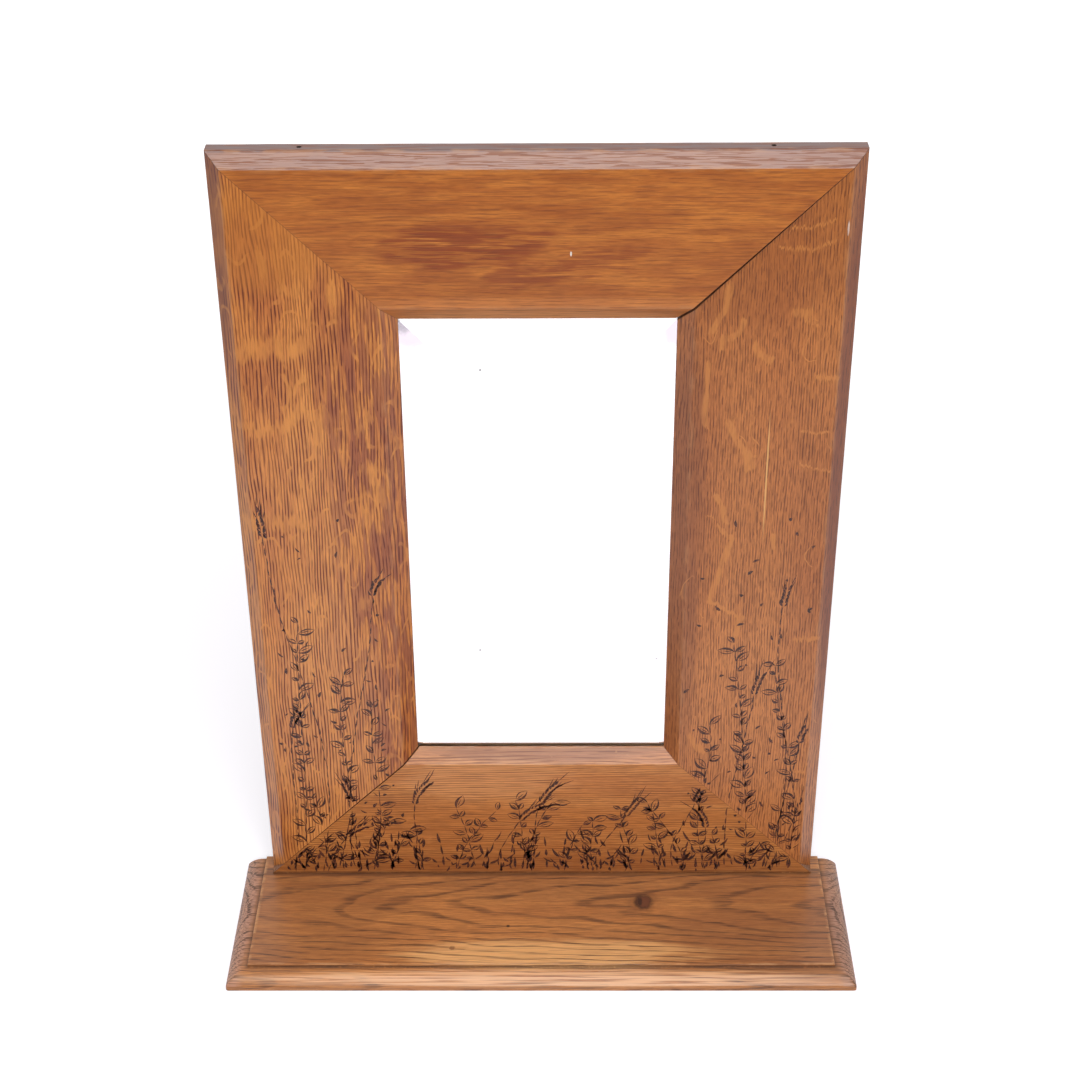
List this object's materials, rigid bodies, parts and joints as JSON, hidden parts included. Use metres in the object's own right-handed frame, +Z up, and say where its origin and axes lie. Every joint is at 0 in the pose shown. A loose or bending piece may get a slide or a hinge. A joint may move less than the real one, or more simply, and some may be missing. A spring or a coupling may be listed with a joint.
{
  "type": "wall mirror with shelf",
  "caption": "Wide mitred oak frame with chamfered edges round a tall bevelled mirror, standing on a moulded oak shelf, with swinging D-ring strap hangers on its back.",
  "frame": {"origin": "middle of the bounding box's underside, on the surface that the shelf stands on", "axes": "+Z up along the frame's height, +Y towards the wall, +X to the viewer's right"},
  "size_m": [0.497, 0.15, 0.647],
  "materials": {
    "oak_frame": "satin varnished golden oak",
    "oak_shelf": "satin varnished oak",
    "oak_tongue": "bare oak",
    "mirror_plate": "clear polished plate with a ground and polished bevel",
    "silvering": "silver under a red-brown paint coat",
    "pine_back": "bare aged pine",
    "steel": "dull steel",
    "brass": "aged brass"
  },
  "bodies": {
    "frame": {"top_rail": "oak_frame", "bottom_rail": "oak_frame", "left_stile": "oak_frame", "right_stile": "oak_frame", "top_left_tongue": "oak_tongue", "top_right_tongue": "oak_tongue", "bottom_left_tongue": "oak_tongue", "bottom_right_tongue": "oak_tongue", "mirror_glass": "mirror_plate", "mirror_silvering": "silvering", "backboard": "pine_back", "backboard_brads": "steel", "shelf": "oak_shelf", "shelf_screws": "steel", "left_hanger_strap": "brass", "left_hanger_screws": "brass", "right_hanger_strap": "brass", "right_hanger_screws": "brass"},
    "left_ring": {"left_hanger_ring": "brass"},
    "right_ring": {"right_hanger_ring": "brass"}
  },
  "joints": [
    {"name": "left_ring_swing", "type": "hinge", "parent": "frame", "child": "left_ring", "pos_m": [-0.162, 0.07265, 0.469], "axis": [1, 0, 0], "range_deg": [0, 175]},
    {"name": "right_ring_swing", "type": "hinge", "parent": "frame", "child": "right_ring", "pos_m": [0.162, 0.07265, 0.469], "axis": [1, 0, 0], "range_deg": [0, 175]}
  ]
}
